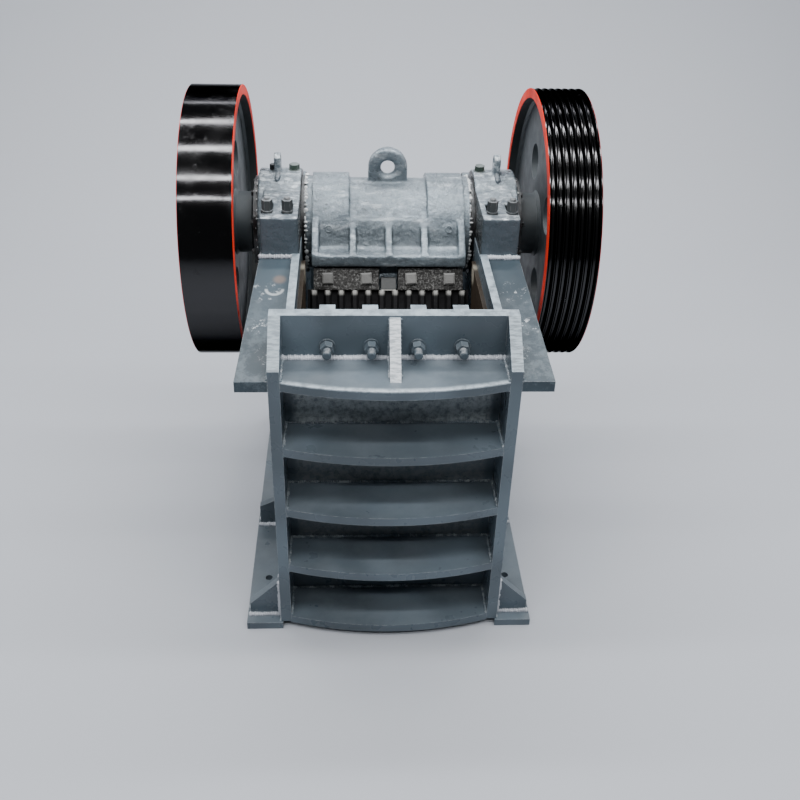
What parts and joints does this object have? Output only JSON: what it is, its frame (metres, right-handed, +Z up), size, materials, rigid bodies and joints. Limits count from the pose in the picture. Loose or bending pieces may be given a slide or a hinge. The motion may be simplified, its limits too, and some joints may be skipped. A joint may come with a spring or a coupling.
{
  "type": "jaw crusher",
  "caption": "Single toggle jaw crusher: a welded frame with curved front ribs, a swinging jaw hung on an eccentric shaft, toothed jaw plates, a flywheel and a grooved pulley.",
  "frame": {"origin": "centre of the four anchor bolt holes, on the floor that the base plates stand on", "axes": "+X along the shaft towards the grooved pulley, +Y from the ribbed front to the toggle end, +Z up"},
  "size_m": [1.496, 1.7199, 1.697],
  "materials": {
    "slate_paint": "satin",
    "cast_paint": "satin",
    "dark_paint": "gloss",
    "jaw_steel": "matte",
    "bare_steel": "satin",
    "wheel_paint": "gloss"
  },
  "bodies": {
    "frame": {"side_plate_left": "slate_paint", "side_plate_right": "slate_paint", "front_wall": "slate_paint", "front_cheek_left": "slate_paint", "front_cheek_right": "slate_paint", "front_rib_1": "slate_paint", "front_rib_2": "slate_paint", "front_rib_3": "slate_paint", "front_rib_4": "slate_paint", "front_rib_5": "slate_paint", "wall_gusset": "slate_paint", "wing_left": "slate_paint", "wing_right": "slate_paint", "bearing_seat_left": "slate_paint", "bearing_seat_right": "slate_paint", "rear_wall": "slate_paint", "rear_ribs": "slate_paint", "toggle_ledges": "slate_paint", "base_plate_left": "slate_paint", "base_plate_right": "slate_paint", "foot_gussets_left": "slate_paint", "foot_gussets_right": "slate_paint", "side_ribs_left": "slate_paint", "side_ribs_right": "slate_paint", "bearing_housing_left": "cast_paint", "bearing_housing_right": "cast_paint", "toggle_seat": "cast_paint", "bearing_cover_left": "dark_paint", "bearing_cover_right": "dark_paint", "housing_seal_left": "dark_paint", "housing_seal_right": "dark_paint", "fixed_jaw_plate": "jaw_steel", "chamber_liner_left": "jaw_steel", "chamber_liner_right": "jaw_steel", "jaw_hold_downs": "jaw_steel", "adjusting_shims": "bare_steel", "tension_rod": "bare_steel", "spring_washers": "bare_steel", "tension_spring": "bare_steel"},
    "rotor": {"eccentric_shaft": "bare_steel", "flywheel": "wheel_paint", "grooved_pulley": "wheel_paint"},
    "swing_jaw": {"pitman": "cast_paint", "pitman_seal_left": "dark_paint", "pitman_seal_right": "dark_paint", "moving_jaw_plate": "jaw_steel", "jaw_clamp_left": "jaw_steel", "jaw_clamp_right": "jaw_steel"},
    "toggle": {"toggle_plate": "bare_steel"}
  },
  "joints": [
    {"name": "shaft_spin", "type": "hinge", "parent": "frame", "child": "rotor", "pos_m": [0, 0.257, 1.191], "axis": [1, 0, 0], "continuous": true},
    {"name": "jaw_swing", "type": "hinge", "parent": "frame", "child": "swing_jaw", "pos_m": [0, 0.257, 1.191], "axis": [1, 0, 0], "range_deg": [-0.45, 0.45]},
    {"name": "toggle_rock", "type": "hinge", "parent": "frame", "child": "toggle", "pos_m": [0, 0.44, 0.42], "axis": [1, 0, 0], "range_deg": [-0.3, 0.3]}
  ],
  "couplings": [
    {"joint": "toggle_rock", "follows": "jaw_swing", "ratio": 0.617}
  ]
}
